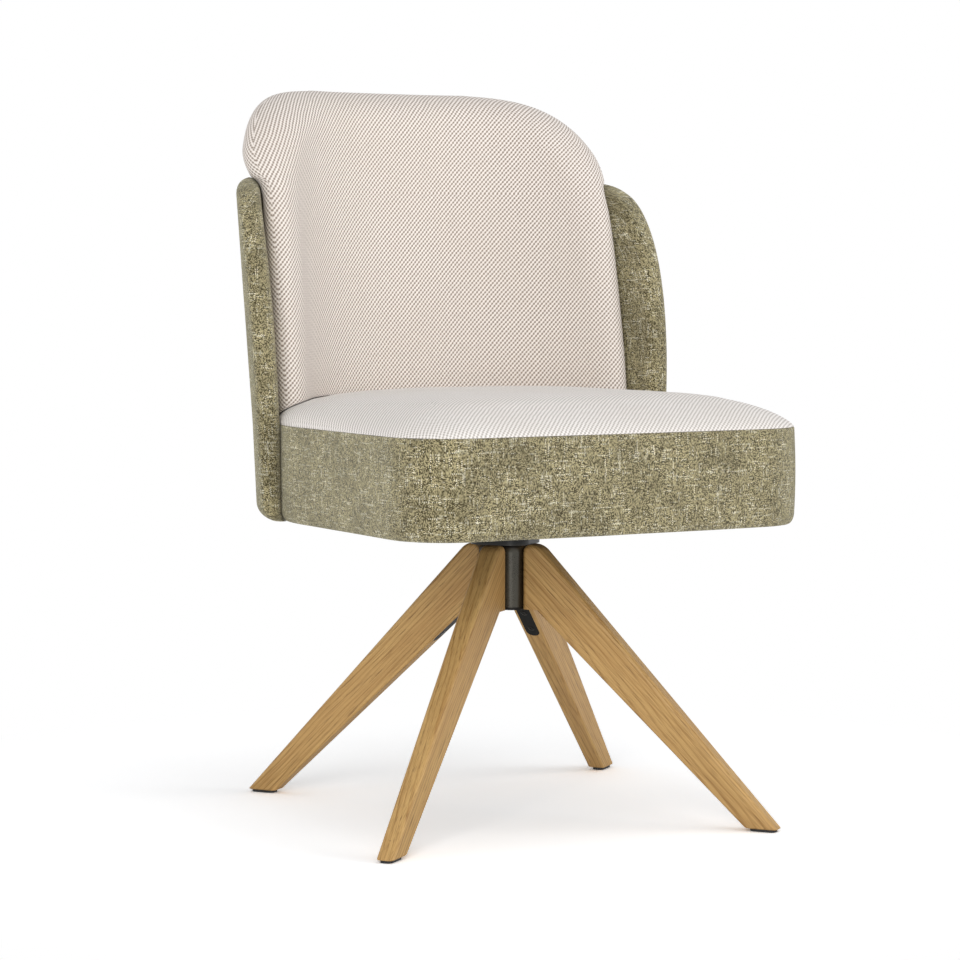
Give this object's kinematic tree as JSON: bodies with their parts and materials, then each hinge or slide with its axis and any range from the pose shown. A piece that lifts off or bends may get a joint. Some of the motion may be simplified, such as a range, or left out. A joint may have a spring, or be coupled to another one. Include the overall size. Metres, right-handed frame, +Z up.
{
  "type": "swivel dining chair",
  "caption": "Upholstered dining chair with a crowned seat and a wrap-round back, which swivels on a metal hub between splayed oak legs.",
  "frame": {"origin": "the middle of the chair's footprint on the floor; the vertical swivel axis stands 20 mm in front of it", "axes": "+Z up; the sitter faces -Y; +X is to the right of someone looking at the chair from the front"},
  "size_m": [0.5298, 0.5546, 0.808],
  "materials": {
    "oak": "clear oil, satin, straight grain",
    "glide_plastic": "moulded, matt black",
    "zinc_steel": "zinc plated",
    "black_steel": "satin black powder coat",
    "beech": "plain, unfinished",
    "bronze": "sintered, oiled",
    "bearing_steel": "ground and polished",
    "cage_plastic": "moulded nylon",
    "turned_steel": "turned, lightly oiled",
    "dust_cloth": "thin black non-woven",
    "plywood": "bare birch plies",
    "pine": "planed, unfinished",
    "foam": "open-cell foam with wadding",
    "green_fabric": "olive melange weave with pale slubs",
    "cream_fabric": "off-white basket weave with grey-brown flecks"
  },
  "bodies": {
    "base": {"rear_right_leg": "oak", "rear_left_leg": "oak", "front_left_leg": "oak", "front_right_leg": "oak", "rear_right_glide": "glide_plastic", "rear_left_glide": "glide_plastic", "front_left_glide": "glide_plastic", "front_right_glide": "glide_plastic", "leg_bracket": "black_steel", "leg_dowels": "beech", "hub_column": "black_steel", "lower_bush": "bronze", "upper_bush": "bronze", "lower_race": "bearing_steel"},
    "cage": {"roller_cage": "cage_plastic", "bearing_rollers": "bearing_steel"},
    "seat": {"plate_bolts": "zinc_steel", "back_bolts": "zinc_steel", "pad_screws": "zinc_steel", "swivel_plate": "black_steel", "upper_race": "bearing_steel", "spindle": "turned_steel", "retaining_washer": "turned_steel", "snap_ring": "turned_steel", "dust_cover": "dust_cloth", "seat_board": "plywood", "shell_ply": "plywood", "pad_former": "plywood", "seat_frame": "pine", "foam_block": "foam", "foam_topper": "foam", "seat_border": "green_fabric", "back_shell": "green_fabric", "seat_cushion": "cream_fabric", "back_pad": "cream_fabric"}
  },
  "joints": [
    {"name": "seat_swivel", "type": "hinge", "parent": "base", "child": "seat", "pos_m": [0, -0.01989, 0.32], "axis": [0, 0, 1], "continuous": true},
    {"name": "cage_turn", "type": "hinge", "parent": "base", "child": "cage", "pos_m": [0, -0.01989, 0.318], "axis": [0, 0, 1], "continuous": true}
  ],
  "couplings": [
    {"joint": "cage_turn", "follows": "seat_swivel", "ratio": 0.5}
  ]
}
